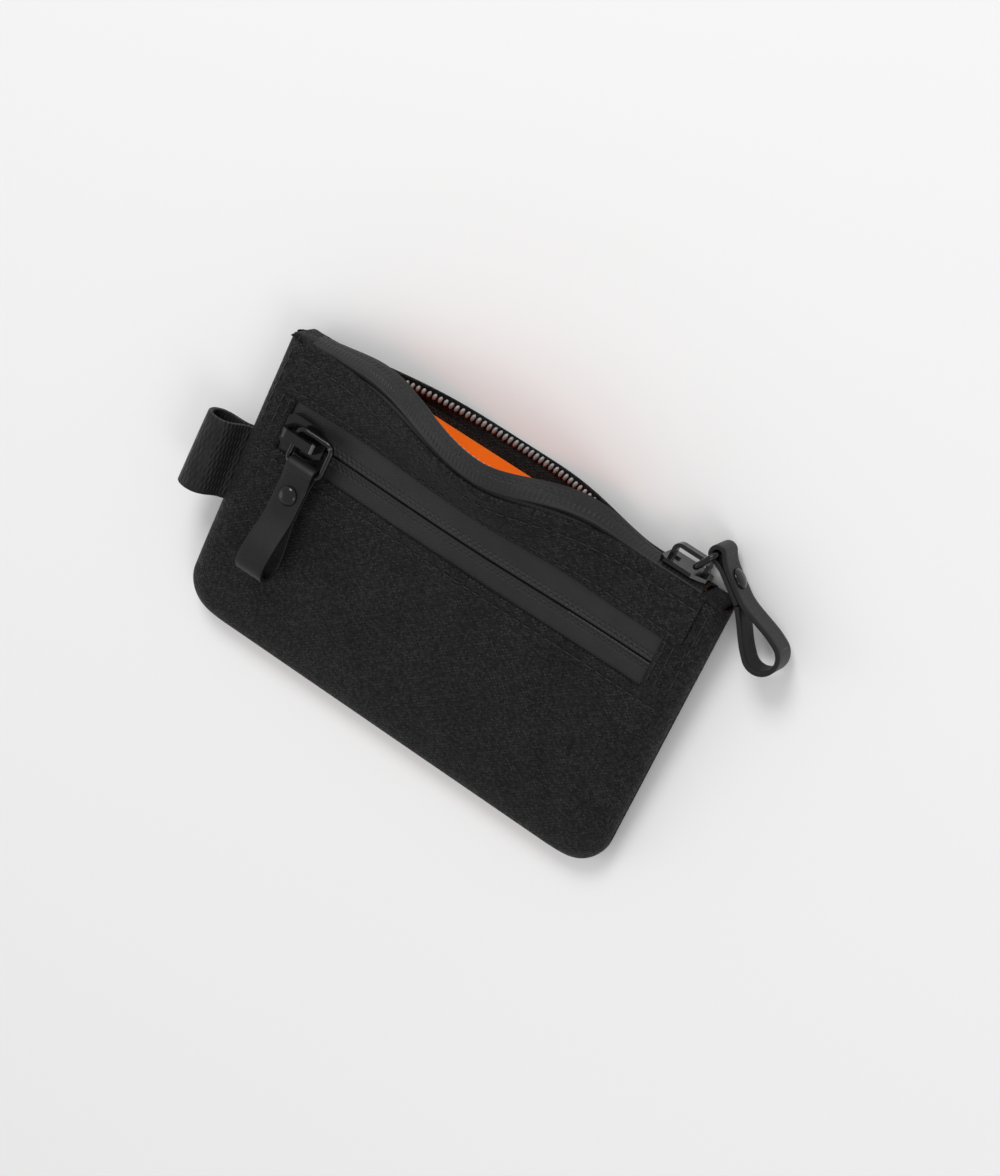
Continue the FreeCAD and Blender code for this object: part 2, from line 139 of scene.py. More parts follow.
def shell(name, top, bot, flip=False):
    # closed thin shell from two grids of equal size; top[i][j]
    n, m = len(top), len(top[0])
    verts = [p for r in top for p in r] + [p for r in bot for p in r]
    k = n * m
    faces = []
    for i in range(n - 1):
        for j in range(m - 1):
            a, b, c, d = i * m + j, i * m + j + 1, (i + 1) * m + j + 1, (i + 1) * m + j
            faces.append((a, b, c, d))
            faces.append((k + d, k + c, k + b, k + a))
    for i in range(n - 1):
        for j0 in (0, m - 1):
            a, d = i * m + j0, (i + 1) * m + j0
            f = (a, d, k + d, k + a)
            faces.append(f if j0 == 0 else f[::-1])
    for j in range(m - 1):
        for i0 in (0, n - 1):
            a, b = i0 * m + j, i0 * m + j + 1
            f = (b, a, k + a, k + b)
            faces.append(f if i0 == 0 else f[::-1])
    if flip:
        faces = [f[::-1] for f in faces]
    o = obj_from(name, verts, faces)
    grid_uv(o, top)
    crisp(o)
    return o


def cloth(top):
    # the cut's rectangle: width and length measured along the grid, not used further
    P = np.array(top, float) / 1000
    w = float(max(np.linalg.norm(np.diff(P, axis=1), axis=2).sum(axis=1)))
    l = float(max(np.linalg.norm(np.diff(P, axis=0), axis=2).sum(axis=0)))
    w, l = max(w, 0.0101), max(l, 0.0101)


def grid_uv(o, top):
    # cloth coordinates in metres, measured along the surface from its middle
    P = np.array(top, float)
    n, m = P.shape[:2]
    along = np.linalg.norm(np.diff(P, axis=1), axis=2)
    down = np.linalg.norm(np.diff(P, axis=0), axis=2)
    cj = np.concatenate([np.zeros((n, 1)), np.cumsum(along, axis=1)], axis=1)
    cj -= cj[:, m // 2][:, None]
    ci = np.concatenate([np.zeros((1, m)), np.cumsum(down, axis=0)], axis=0)
    xs_down = abs(P[0, m // 2, 0] - P[-1, m // 2, 0]) > 5
    if xs_down:
        # rows step along X, so X itself is the even coordinate
        U, V = P[:, :, 0], cj
    else:
        U, V = cj, np.repeat(ci[:, m // 2][:, None], m, axis=1)
    uv = np.stack([U.ravel(), V.ravel()], axis=1) / 1000
    both_ = np.concatenate([uv, uv])
    lay = o.data.uv_layers.new(name="cloth")
    idx = np.zeros(len(o.data.loops), int)
    o.data.loops.foreach_get("vertex_index", idx)
    lay.data.foreach_set("uv", both_[idx].ravel())


def crisp(o, deg=50):
    import bmesh
    bm = bmesh.new()
    bm.from_mesh(o.data)
    lim = math.radians(deg)
    for e in bm.edges:
        if len(e.link_faces) == 2 and e.calc_face_angle(0.0) > lim:
            e.smooth = False
    bm.to_mesh(o.data)
    bm.free()


def sweep(name, path, width, thick, place, bevel=0.25, closed=False, wobble=None):
    # rounded rectangular strip along a flat path in (u, v); width runs along the local third axis
    path = [np.array(p, float) for p in path]
    n = len(path)
    prof = []
    hw, ht, b = width / 2, thick / 2, bevel
    for cx, cy, a0 in ((hw - b, ht - b, 0), (-hw + b, ht - b, 90), (-hw + b, -ht + b, 180), (hw - b, -ht + b, 270)):
        for k in range(4):
            a = math.radians(a0 + 30 * k)
            prof.append((cx + b * math.cos(a), cy + b * math.sin(a)))
    # extra points along the wide faces
    full = []
    for k, p in enumerate(prof):
        full.append(p)
        q = prof[(k + 1) % len(prof)]
        if abs(p[0] - q[0]) > 2 * b + 0.5:
            for s in range(1, 6):
                full.append((lerp(p[0], q[0], s / 6), lerp(p[1], q[1], s / 6)))
    prof = full
    m = len(prof)
    verts, faces = [], []
    for i in range(n):
        if closed:
            t = path[(i + 1) % n] - path[i - 1]
        else:
            t = path[min(i + 1, n - 1)] - path[max(i - 1, 0)]
        t = t / (np.linalg.norm(t) + 1e-9)
        nn = np.array([-t[1], t[0]])
        for w, h in prof:
            off = wobble(i / (n - 1), w) if wobble else 0.0
            q = path[i] + nn * (h + off)
            verts.append(place @ Vector((q[0], q[1], w)))
    rings = n if closed else n - 1
    for i in range(rings):
        for j in range(m):
            a, b_, c, d = i * m + j, i * m + (j + 1) % m, ((i + 1) % n) * m + (j + 1) % m, ((i + 1) % n) * m + j
            faces.append((a, d, c, b_))
    if not closed:
        faces.append(tuple(range(m)))
        faces.append(tuple(reversed([(n - 1) * m + j for j in range(m)])))
    o = obj_from(name, verts, faces)
    run = np.concatenate([[0], np.cumsum([np.linalg.norm(b_ - a) for a, b_ in zip(path, path[1:])])])
    uv = np.array([((run[i] + 0.5 * p[1]) / 1000, (p[0] + 0.5 * p[1]) / 1000) for i in range(n) for p in prof])
    lay = o.data.uv_layers.new(name="cloth")
    idx = np.zeros(len(o.data.loops), int)
    o.data.loops.foreach_get("vertex_index", idx)
    lay.data.foreach_set("uv", uv[idx].ravel())
    return o


def mat4(o, ex, ey, ez):
    return Matrix(((ex[0], ey[0], ez[0], o[0]), (ex[1], ey[1], ez[1], o[1]), (ex[2], ey[2], ez[2], o[2]), (0, 0, 0, 1)))


def capsules(name, items, r, sides=7, flat=0.75):
    # stitches: short rounded threads; items are (centre, direction, normal, length)
    verts, faces = [], []
    for c, d, nn, ln in items:
        c, d, nn = Vector(c), Vector(d).normalized(), Vector(nn).normalized()
        s = d.cross(nn).normalized()
        base = len(verts)
        rows = [(-0.5, 0.25, -0.9), (-0.44, 0.75, -0.35), (-0.25, 1, 0.35), (0, 1.05, 0.55), (0.25, 1, 0.35), (0.44, 0.75, -0.35), (0.5, 0.25, -0.9)]
        for f, k, lift in rows:
            for j in range(sides):
                a = 2 * math.pi * j / sides
                verts.append(c + d * (f * ln) + s * (r * k * math.cos(a)) + nn * (r * flat * k * math.sin(a) + lift * r))
        for i in range(len(rows) - 1):
            for j in range(sides):
                faces.append((base + i * sides + j, base + (i + 1) * sides + j, base + (i + 1) * sides + (j + 1) % sides, base + i * sides + (j + 1) % sides))
        faces.append(tuple(base + j for j in range(sides)))
        faces.append(tuple(base + (len(rows) - 1) * sides + j for j in reversed(range(sides))))
    return obj_from(name, verts, faces)


def stitch_row(pts, pitch=2.9, ln=2.25):
    # pts: fine polyline with normals [(p, n)]
    out, acc = [], 0.0
    for (p, nn), (q, _) in zip(pts, pts[1:]):
        p, q = Vector(p), Vector(q)
        seg = (q - p).length
        acc += seg
        if acc >= pitch:
            acc -= pitch
            out.append((tuple(p), tuple(q - p), nn, ln))
    return out


# ------------------------------------------------------------------ materials
class N:
    def __init__(self, name, coords="Object"):
        self.coords = coords
        self.m = bpy.data.materials.new(name)
        self.m.use_nodes = True
        self.t = self.m.node_tree
        self.b = self.t.nodes["Principled BSDF"]
        self.co = self.t.nodes.new("ShaderNodeTexCoord")

    def node(self, kind, **kw):
        n = self.t.nodes.new(kind)
        for k, v in kw.items():
            if k in n.inputs:
                n.inputs[k].default_value = v
            else:
                setattr(n, k, v)
        return n

    def link(self, a, b):
        self.t.links.new(a, b)

    def math(self, op, a, b=None, c=None):
        n = self.t.nodes.new("ShaderNodeMath")
        n.operation = op
        for i, v in enumerate((a, b, c)):
            if v is None:
                continue
            if isinstance(v, (int, float)):
                n.inputs[i].default_value = v
            else:
                self.link(v, n.inputs[i])
        return n.outputs[0]

    def mapping(self, scale=(1, 1, 1), rot=(0, 0, 0)):
        n = self.t.nodes.new("ShaderNodeMapping")
        self.link(self.co.outputs[self.coords], n.inputs["Vector"])
        n.inputs["Scale"].default_value = scale
        n.inputs["Rotation"].default_value = rot
        return n.outputs[0]

    def noise(self, scale, detail=3, vec=None, rough=0.55):
        n = self.node("ShaderNodeTexNoise", Scale=scale, Detail=detail, Roughness=rough)
        self.link(vec or self.co.outputs[self.coords], n.inputs["Vector"])
        return n.outputs["Fac"]

    def ramp(self, fac, stops):
        n = self.t.nodes.new("ShaderNodeValToRGB")
        r = n.color_ramp
        while len(r.elements) < len(stops):
            r.elements.new(0.5)
        for e, (p, c) in zip(r.elements, stops):
            e.position = p
            e.color = (*c, 1)
        self.link(fac, n.inputs["Fac"])
        return n.outputs["Color"]

    def bump(self, height, strength, dist):
        n = self.node("ShaderNodeBump", Strength=strength, Distance=dist)
        self.link(height, n.inputs["Height"])
        self.link(n.outputs["Normal"], self.b.inputs["Normal"])


def yarns(n, px, py, rot=0.0, vec=None):
    # over-and-under height of a plain weave with the given yarn pitches in mm
    m = n.mapping(scale=(1000.0 / px, 1000.0 / py, 1000.0 / py), rot=(0, 0, rot))
    s = n.t.nodes.new("ShaderNodeSeparateXYZ")
    n.link(m, s.inputs[0])
    sx, sy, sz = s.outputs
    yy = n.math("ADD", sy, sz)
    a = n.math("SINE", n.math("MULTIPLY", sx, math.pi))
    b = n.math("SINE", n.math("MULTIPLY", yy, math.pi))
    return n.math("MULTIPLY", a, b), sx, yy


def fabric(name, dark, light, px=0.56, py=0.46, rough=0.7, sheen=0.03, bump=0.8, diag=True, spec=0.2, coords="UV", cell=0.38, painted_glow=None):
    n = N(name, coords)
    w, sx, sy = yarns(n, px, py)
    # every yarn crossing catches the light a little differently
    cmb = n.t.nodes.new("ShaderNodeCombineXYZ")
    n.link(n.math("FLOOR", sx), cmb.inputs[0])
    n.link(n.math("FLOOR", sy), cmb.inputs[1])
    wn = n.t.nodes.new("ShaderNodeTexWhiteNoise")
    wn.noise_dimensions = "3D"
    n.link(cmb.outputs[0], wn.inputs["Vector"])
    rnd = wn.outputs["Value"]
    h = n.math("ADD", n.math("MULTIPLY", w, 0.5), 0.5)
    fuzz = n.noise(2600, 2)
    blot = n.noise(70, 3)
    h2 = n.math("ADD", n.math("MULTIPLY", h, 0.7), n.math("MULTIPLY", fuzz, 0.35))
    # the weave height also drives the colour: yarn crowns lighter and the gaps between yarns darker, a painted shade in
    # the weave
    f = n.math("ADD", n.math("MULTIPLY", h2, 0.5 - 0.3 * cell), n.math("MULTIPLY", rnd, cell))
    f = n.math("ADD", f, n.math("MULTIPLY", blot, 0.3))
    col = n.ramp(f, [(0.22, dark), (0.66, tuple(lerp(a, b, 0.3) for a, b in zip(dark, light))), (0.98, light)])
    n.link(col, n.b.inputs["Base Color"])
    r = n.math("ADD", n.math("MULTIPLY", rnd, -0.22), rough + 0.1)
    n.link(r, n.b.inputs["Roughness"])
    n.b.inputs["Sheen Weight"].default_value = sheen
    n.b.inputs["Sheen Roughness"].default_value = 0.45
    n.b.inputs["Specular IOR Level"].default_value = spec
    # painted light: a faint emission brightens the lining where it lies in shade inside the pouch
    if painted_glow:
        n.b.inputs["Emission Color"].default_value = (*painted_glow, 1)
        n.b.inputs["Emission Strength"].default_value = 0.13
    n.bump(h2, bump, 0.0002)
    return n.m


def mat_tape(name, base, light):
    n = N(name, "UV")
    g = n.noise(1900, 3)
    blot = n.noise(140, 4)
    weave, sx, sy = yarns(n, 0.5, 0.36)
    h = n.math("ADD", n.math("MULTIPLY", weave, 0.16), n.math("MULTIPLY", g, 0.5))
    f = n.math("ADD", n.math("MULTIPLY", blot, 0.75), n.math("MULTIPLY", g, 0.2))
    n.link(n.ramp(f, [(0.25, base), (0.75, light)]), n.b.inputs["Base Color"])
    n.link(n.math("ADD", n.math("MULTIPLY", blot, 0.25), 0.36), n.b.inputs["Roughness"])
    n.b.inputs["Specular IOR Level"].default_value = 0.42
    n.bump(h, 0.6, 0.00016)
    return n.m


def mat_leather(name):
    n = N(name, "UV")
    v = n.node("ShaderNodeTexVoronoi", Scale=1500)
    n.link(n.co.outputs[n.coords], v.inputs["Vector"])
    g = n.noise(900, 4)
    h = n.math("ADD", n.math("MULTIPLY", v.outputs["Distance"], 0.6), n.math("MULTIPLY", g, 0.7))
    blot = n.noise(110, 3)
    geo = n.t.nodes.new("ShaderNodeNewGeometry")
    # colour follows pointiness: lighter on convex edges, darker in hollows, and the darkening in hollows is painted
    # shade
    edge_tone_and_hollow_shade = n.math("MULTIPLY", n.math("SUBTRACT", geo.outputs["Pointiness"], 0.5), 2.2)
    f = n.math("ADD", n.math("MULTIPLY", blot, 0.75), edge_tone_and_hollow_shade)
    n.link(n.ramp(f, [(0.15, (0.004, 0.004, 0.004)), (0.6, (0.0095, 0.0092, 0.009)), (1.0, (0.06, 0.057, 0.054))]), n.b.inputs["Base Color"])
    n.link(n.math("ADD", n.math("MULTIPLY", g, 0.2), 0.4), n.b.inputs["Roughness"])
    n.b.inputs["Specular IOR Level"].default_value = 0.3
    n.bump(h, 0.35, 0.00012)
    return n.m


def mat_metal(name, col=(0.008, 0.008, 0.009), rough=0.2):
    n = N(name)
    g = n.noise(420, 3)
    geo = n.t.nodes.new("ShaderNodeNewGeometry")
    # colour follows pointiness: lighter on sharp convex edges, darker in hollows, and the darkening in hollows is
    # painted shade
    edge_tone_and_hollow_shade = n.math("MULTIPLY", n.math("SUBTRACT", geo.outputs["Pointiness"], 0.56), 3.0)
    f = n.math("ADD", n.math("MULTIPLY", g, 0.5), edge_tone_and_hollow_shade)
    n.link(n.ramp(f, [(0.2, col), (0.7, tuple(c * 1.8 for c in col)), (1.0, (0.09, 0.09, 0.09))]), n.b.inputs["Base Color"])
    n.link(n.math("ADD", n.math("MULTIPLY", g, 0.2), rough - 0.06), n.b.inputs["Roughness"])
    n.b.inputs["Metallic"].default_value = 0.0
    n.b.inputs["Coat Weight"].default_value = 0.25
    n.b.inputs["Coat Roughness"].default_value = 0.06
    n.b.inputs["Specular IOR Level"].default_value = 0.24
    n.bump(n.noise(1400, 2), 0.08, 0.0001)
    return n.m


M_NYLON = fabric("nylon_black", (0.0008, 0.0008, 0.0009), (0.034, 0.034, 0.035), spec=0.17)
# the lining's emission below is painted light for its shaded inside
M_ORANGE = fabric("lining_orange", (0.80, 0.15, 0.006), (1.0, 0.27, 0.018), px=0.3, py=0.3, rough=0.62, sheen=0.1, bump=0.3, cell=0.2, painted_glow=(1.0, 0.17, 0.008))
M_TAPE = mat_tape("zip_tape_laminate", (0.0035, 0.0035, 0.0036), (0.0135, 0.0135, 0.0138))
M_TAPE_IN = fabric("zip_tape_woven", (0.0015, 0.0015, 0.0015), (0.03, 0.03, 0.03), px=0.7, py=0.35, bump=0.9, cell=0.35)
M_WEB = fabric("webbing_black", (0.0016, 0.0016, 0.0017), (0.026, 0.026, 0.027), px=0.5, py=2.2, rough=0.55, bump=1.0, cell=0.18, spec=0.3)
M_LEATHER = mat_leather("leather_black")
M_METAL = mat_metal("slider_black", (0.004, 0.004, 0.0043), 0.17)
M_RIVET = mat_metal("rivet_black", (0.006, 0.006, 0.006), 0.14)
# the light grey body colour is a painted highlight: it stands in for the bright glints on the glossy heads of the dark
# coil
M_COIL = mat_metal("coil_nylon_painted_highlight", (0.22, 0.22, 0.22), 0.24)
M_THREAD = fabric("thread_black", (0.006, 0.006, 0.006), (0.03, 0.03, 0.03), px=0.25, py=0.25, rough=0.5, bump=0.4, coords="Object", cell=0.2, spec=0.3)


def finish_piece(o, mat, body=None, nodes=()):
    o.data.materials.clear()
    o.data.materials.append(mat)
    if body:
        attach(o, body)
    if nodes:
        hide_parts(*nodes)
    return o


# ------------------------------------------------------------------ camera and light, then the pieces
cam_data = bpy.data.cameras.new("camera")
cam_data.sensor_width = 36.0
cam_data.lens = 85.08
cam = bpy.data.objects.new("camera", cam_data)
bpy.context.scene.collection.objects.link(cam)
cam.matrix_world = Matrix((
    (0.801027, -0.526911, 0.284112, 0.196721),
    (0.419591, 0.832701, 0.36132, 0.246907),
    (-0.426964, -0.170216, 0.888104, 0.585713),
    (0, 0, 0, 1)))
bpy.context.scene.camera = cam

world = bpy.data.worlds.new("studio")
world.use_nodes = True
world.node_tree.nodes["Background"].inputs[0].default_value = (1, 1, 1, 1)
world.node_tree.nodes["Background"].inputs[1].default_value = 0.62
bpy.context.scene.world = world
bpy.context.scene.view_settings.view_transform = "Standard"


def area(name, loc, aim, size, power):
    l = bpy.data.lights.new(name, "AREA")
    l.shape = "DISK"
    l.size = size
    l.energy = power
    o = bpy.data.objects.new(name, l)
    bpy.context.scene.collection.objects.link(o)
    o.location = loc
    o.rotation_euler = (Vector(aim) - Vector(loc)).to_track_quat("-Z", "Y").to_euler()
    return o


area("key", (-0.25, 0.75, 0.75), (0, 0, 0), 0.42, 4.6)
area("fill", (0.75, -0.15, 0.75), (0, 0, 0), 0.5, 1.6)
area("rim", (-0.7, -0.35, 0.45), (0, 0, 0), 0.5, 0.7)

fl = bpy.data.meshes.new("floor")
fl.from_pydata([(-6, -6, -0.00105), (6, -6, -0.00105), (6, 6, -0.00105), (-6, 6, -0.00105)], [], [(0, 1, 2, 3)])
floor = bpy.data.objects.new("floor", fl)
bpy.context.scene.collection.objects.link(floor)
nf = N("floor_pale")
nf.b.inputs["Base Color"].default_value = (0.86, 0.86, 0.86, 1)
nf.b.inputs["Roughness"].default_value = 0.9
floor.data.materials.append(nf.m)

# ------------------------------------------------------------------ back panel and lining
FR = [-1, -0.997, -0.99, -0.98, -0.967, -0.95, -0.93, -0.91, -0.89] + [lerp(-0.87, 0.87, i / 64) for i in range(65)] + [0.89, 0.91, 0.93, 0.95, 0.967, 0.98, 0.99, 0.997, 1]


def ys_of(y0, y1, n):
    return [lerp(y0, y1, k / n) for k in range(n + 1)]


def low_ys(y1, n):
    # rows crowd towards the bottom seam
    return [-HH + (y1 + HH) * (k / n) ** 1.5 for k in range(n + 1)]


rows_t, rows_b = [], []
for y in low_ys(HH + 0.25, 60):
    w = half_x(y)
    rows_t.append([(f * w, y, back_z(f * w, y) + 1.0) for f in FR])
    rows_b.append([(f * w, y, max(0.0, back_z(f * w, y) + 0.1 * (1 + n3(f * w, y, 18, 9.2)) * (0.0 if abs(f) < 0.8 and abs(y) < 28 else 1.0))) for f in FR])
back = shell("back_panel_cloth", rows_t, rows_b)
finish_piece(back, M_NYLON, "root", ["back_panel"])
cloth(rows_t)

rows_t, rows_b = [], []
for y in ys_of(-HH + 2.5, HH - 1.3, 60):
    w = half_x(y) - 4.2
    rows_t.append([(f * w, y, back_z(f * w, y) + 1.75 + 0.35 * n3(f * w, y, 14, 4.4) + 0.12 * n3(f * w, y, 5, 1.4)) for f in FR])
    rows_b.append([(f * w, y, back_z(f * w, y) + 1.05) for f in FR])
bl = shell("back_lining_cloth", rows_t, rows_b)
finish_piece(bl, M_ORANGE, "root", ["back_lining"])
cloth(rows_t)


# ------------------------------------------------------------------ front lower panel, hemmed at the pocket
def dimple(y, rows, depth=0.32, wide=0.6):
    return -sum(depth * math.exp(-((y - r) / wide) ** 2) for r in rows)


LOW_STITCH = 8.9


def dash(x, duty=0.6, pitch=1.5):
    t = abs((x / pitch) % 1.0 - 0.5) * 2
    return 1 - step01((t - duty + 0.15) / 0.3)


def low_front(x, y):
    e = edge(x, y)
    hem = 0.16 * step01((y - 6.6) / 0.8)
    return front_z(x, y) + e * (creases(x, y) * step01((y + HH) / 8) * (1 - 0.6 * step01((y - 4) / 6)) + dimple(y, (LOW_STITCH,)) + hem)


rows_t, rows_b = [], []
ly = low_ys(6.0, 64) + ys_of(6.25, WL, 22)
for y in ly:
    w = half_x(y)
    rows_t.append([(f * w, y, low_front(f * w, y)) for f in FR])
    rows_b.append([(f * w, y, front_z(f * w, y) - 0.9) for f in FR])
# rounded hem edge
w = half_x(WL)
rows_t.append([(f * w, WL + 0.28, low_front(f * w, WL) - 0.25) for f in FR])
rows_b.append([(f * w, WL + 0.22, front_z(f * w, WL) - 0.75) for f in FR])
rows_t.append([(f * w, WL + 0.36, low_front(f * w, WL) - 0.6) for f in FR])
rows_b.append([(f * w, WL + 0.34, front_z(f * w, WL) - 0.65) for f in FR])
fl_ = shell("front_lower_cloth", rows_t, rows_b, flip=True)
finish_piece(fl_, M_NYLON, "root", ["front_lower_panel"])
cloth(rows_t)

for side, nm in ((-1, "left"), (1, "right")):
    rt, rb = [], []
    xr = [53.2, 53.35, 53.8, 54.6, 55.6, 56.6, 57.6, 58.4, 59.2, 60.0, 60.7, 61.3, 61.8, 62.2, 62.55, 62.8, 62.95]
    for y in ys_of(WL + 0.05, HH - 0.25, 40):
        def zf(x):
            tuck = -0.55 * (1 - step01((abs(x) - 53.2) / 0.5))
            lowpart = step01((25.2 - y) / 0.6)
            drop = -0.9 * (1 - lowpart) * (1 - step01((abs(x) - 57.2) / 0.5))
            return front_z(x, y) + 0.3 * edge(x, y) + tuck + drop + 0.25 * edge(x, y) * n3(x, y, 8, 5.5)
        rt.append([(side * x, y, zf(side * x)) for x in xr])
        rb.append([(side * x, y, zf(side * x) - 0.8) for x in xr])
    o = shell("front_side_cloth_" + nm, rt, rb, flip=(side > 0))
    finish_piece(o, M_NYLON, "root", ["front_side_" + nm, "pocket_end_tab_" + nm])

# the front lining and pocket bag
rt, rb = [], []
for y in ys_of(-HH + 3, 23, 40):
    w = half_x(y) - 5
    rt.append([(f * w, y, max(front_z(f * w, y) - 1.6 - 0.9 * step01((y - 8) / 5), back_z(f * w, y) + 2.6)) for f in FR])
    rb.append([(f * w, y, max(front_z(f * w, y) - 2.1 - 0.9 * step01((y - 8) / 5) + 0.2 * n3(f * w, y, 10, 2.2), back_z(f * w, y) + 2.3)) for f in FR])
o = shell("front_lining_cloth", rt, rb, flip=True)
finish_piece(o, M_ORANGE, "root", ["front_lining"])
cloth(rt)
rt, rb = [], []
for y in ys_of(-HH + 5, 9.6, 24):
    w = half_x(y) - 6
    rt.append([(f * w, y, front_z(f * w, y) - 1.05) for f in FR])
    rb.append([(f * w, y, front_z(f * w, y) - 1.35) for f in FR])
o = shell("pocket_bag_cloth", rt, rb, flip=True)
finish_piece(o, M_ORANGE, "root", ["pocket_bag"])
cloth(rt)


# ------------------------------------------------------------------ the parts that open with the mouth, in halves about its widest place
def halves(n=70):
    left = [lerp(-57.7, BOW_C, (k / n)) for k in range(n + 1)]
    right = [lerp(BOW_C, 57.7, (k / n)) for k in range(n + 1)]
    return (("left", left, BOW_L), ("right", right, BOW_R))


def fold_closed(x):
    return (38.2, 12.0 + 1.5 * bow(x))


def flap_closed(x, s):
    # s 0 at the pocket window, 1 at the fold
    q = fold_closed(x)
    z0 = front_z(x, WH) + 0.25
    y = 24.9 + (q[0] - 24.9) * s
    hem = 0.0
    z = lerp(z0, q[1] + 0.25, s) + 0.55 * math.sin(math.pi * s)
    z += dimple(y, (WH + 2.1, 35.1), 0.2, 0.5)
    z += 0.3 * n3(x, y, 15, 6.1) * math.sin(math.pi * min(1, s * 1.1))
    return (y, z)


def both(fn, c, turn_deg):
    return lambda x, s: turn(fn(x, s), c, turn_deg * bow(x))


def flap_tail(x, k):
    # the fold's rounded edge, k 0..1
    q = fold_closed(x)
    a = math.radians(90 * k)
    r = 0.8
    return (q[0] + r * math.sin(a), q[1] + 0.25 - r * (1 - math.cos(a)) - 0.5 * k)


def blend_half(o):
    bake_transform(o)


SS = [0, 0.012, 0.03] + [lerp(0.06, 1, i / 26) for i in range(27)]
for nm, xs, sx in halves():
    rt, rb, rl, rl2 = [], [], [], []
    for x in xs:
        a = FLAP_TURN * bow(x)
        lin_on = abs(x) <= 54.3
        top = [flap_closed(x, s) for s in SS] + [flap_tail(x, k) for k in (0.33, 0.66, 1.0)]
        top[0] = (top[0][0] + 0.05, top[0][1] - 0.7)
        top[1] = (top[1][0] - 0.12, top[1][1] - 0.35)
        low = [(p[0], p[1] - 0.85) for p in [flap_closed(x, s) for s in SS]] + [(flap_tail(x, k)[0] - 0.5, flap_tail(x, k)[1] - 0.55) for k in (0.33, 0.66, 1.0)]
        low[0] = (low[0][0] + 0.1, top[0][1] - 0.1)
        rt.append([(x, *turn(p, PIV_FLAP, a)) for p in top])
        rb.append([(x, *turn(p, PIV_FLAP, a)) for p in low])
        lin = [(flap_closed(x, s)[0] - 0.1, flap_closed(x, s)[1] - 1.2) for s in SS]
        lin2 = [(p[0], p[1] - 0.45 - 0.2 * n3(x, p[0], 9, 8.8)) for p in lin]
        if lin_on:
            rl.append([(x, *turn(p, PIV_FLAP, a)) for p in lin])
            rl2.append([(x, *turn(p, PIV_FLAP, a)) for p in lin2])
    o = shell("front_upper_cloth_" + nm, rt, rb)
    finish_piece(o, M_NYLON, None, ["front_upper_panel"])
    cloth(rt)
    blend_half(o)
    o = shell("front_upper_lining_" + nm, rl, rl2)
    finish_piece(o, M_ORANGE)
    cloth(rl)
    blend_half(o)


def tape_front_closed(x, s):
    q = fold_closed(x)
    f = (q[0] + 0.1, q[1] - 0.7)
    l = (39.9, 6.35)
    return (lerp(f[0], l[0], s) + 0.45 * math.sin(math.pi * s), lerp(f[1], l[1], s))


def strip_half(name, xs, fn, c, ang, thick, ns, mat, nodes, rough_edge=False, inner=None):
    rt, rb = [], []
    for x in xs:
        a = ang * bow(x)
        p = [fn(x, i / ns) for i in range(ns + 1)]
        q = []
        for i, (y, z) in enumerate(p):
            y0, z0 = p[max(i - 1, 0)]
            y1, z1 = p[min(i + 1, ns)]
            m = math.hypot(y1 - y0, z1 - z0) + 1e-9
            ny, nz = -(z1 - z0) / m, (y1 - y0) / m
            q.append((y - ny * thick, z - nz * thick))
        rt.append([(x, *turn(v, c, a)) for v in p])
        rb.append([(x, *turn(v, c, a)) for v in q])
    o = shell(name, rt, rb)
    finish_piece(o, mat, None, nodes)
    blend_half(o)
    return o


def front_fn(x, s):
    y, z = tape_front_closed(x, s)
    rib = 0.11 * math.sin(x * 2 * math.pi / 1.1) * math.exp(-((s - 0.36) / 0.12) ** 2)
    for r, k in ((0.66, 0), (0.78, 0.75)):
        rib -= 0.26 * math.exp(-((s - r) / 0.04) ** 2) * dash(x + k)
    if s < 0.14:
        t = 1 - s / 0.14
        y -= 1.1 * t * t
        z -= 0.7 * t
    return (y + rib, z)


def back_fn(x, s):
    # from the lip down to the fold, inner face outwards
    a, b = (39.9, 5.65), (38.25, 0.35)
    return (lerp(b[0], a[0], s), lerp(b[1], a[1], s))


def fine_halves():
    return halves(300)


def under_fn(x, s):
    q = fold_closed(x)
    return (lerp(q[0] - 1.2, 39.35, s) + 0.25 * math.sin(math.pi * s), lerp(q[1] - 0.35, 8.9, s))


for nm, xs, sx in halves(90):
    xs = [x for x in xs if abs(x) <= 55.5]
    strip_half("upper_fold_tape_" + nm, xs, lambda x, s: under_fn(x, 1 - s), PIV_FLAP, FLAP_TURN, 0.35, 10, M_TAPE, [])

for nm, xs, sx in fine_halves():
    xs = [x for x in xs if abs(x) <= 56]
    strip_half("main_tape_front_" + nm, xs, lambda x, s: front_fn(x, 1 - s), PIV_LIP, LIP_TURN, 0.45, 40, M_TAPE, ["main_zip_tape_front"])
    strip_half("main_tape_back_" + nm, xs[::3], lambda x, s: back_fn(x, s), PIV_BACK, -BACK_TURN, 0.5, 12, M_TAPE_IN, ["main_zip_tape_back"])


# coil teeth: one bent bead each 1.5 mm
def beads(name, xs, pos, size, normal_turn, mat, nodes):
    verts, faces = [], []
    rows, cols = 6, 9
    for x in xs:
        (cy, cz), a = pos(x)
        base = len(verts)
        ca, sa = math.cos(math.radians(a)), math.sin(math.radians(a))
        for i in range(rows + 1):
            th = math.pi * i / rows
            for j in range(cols):
                ph = 2 * math.pi * j / cols
                u, v, w = size[0] * math.sin(th) * math.cos(ph), size[1] * math.sin(th) * math.sin(ph), size[2] * math.cos(th)
                y, z = v * ca - w * sa, v * sa + w * ca
                verts.append((x + u + 0.18 * w, cy + y, cz + z))
        for i in range(rows):
            for j in range(cols):
                faces.append((base + i * cols + j, base + (i + 1) * cols + j, base + (i + 1) * cols + (j + 1) % cols, base + i * cols + (j + 1) % cols))
    o = obj_from(name, verts, faces)
    finish_piece(o, mat, None, nodes)
    blend_half(o)
    return o


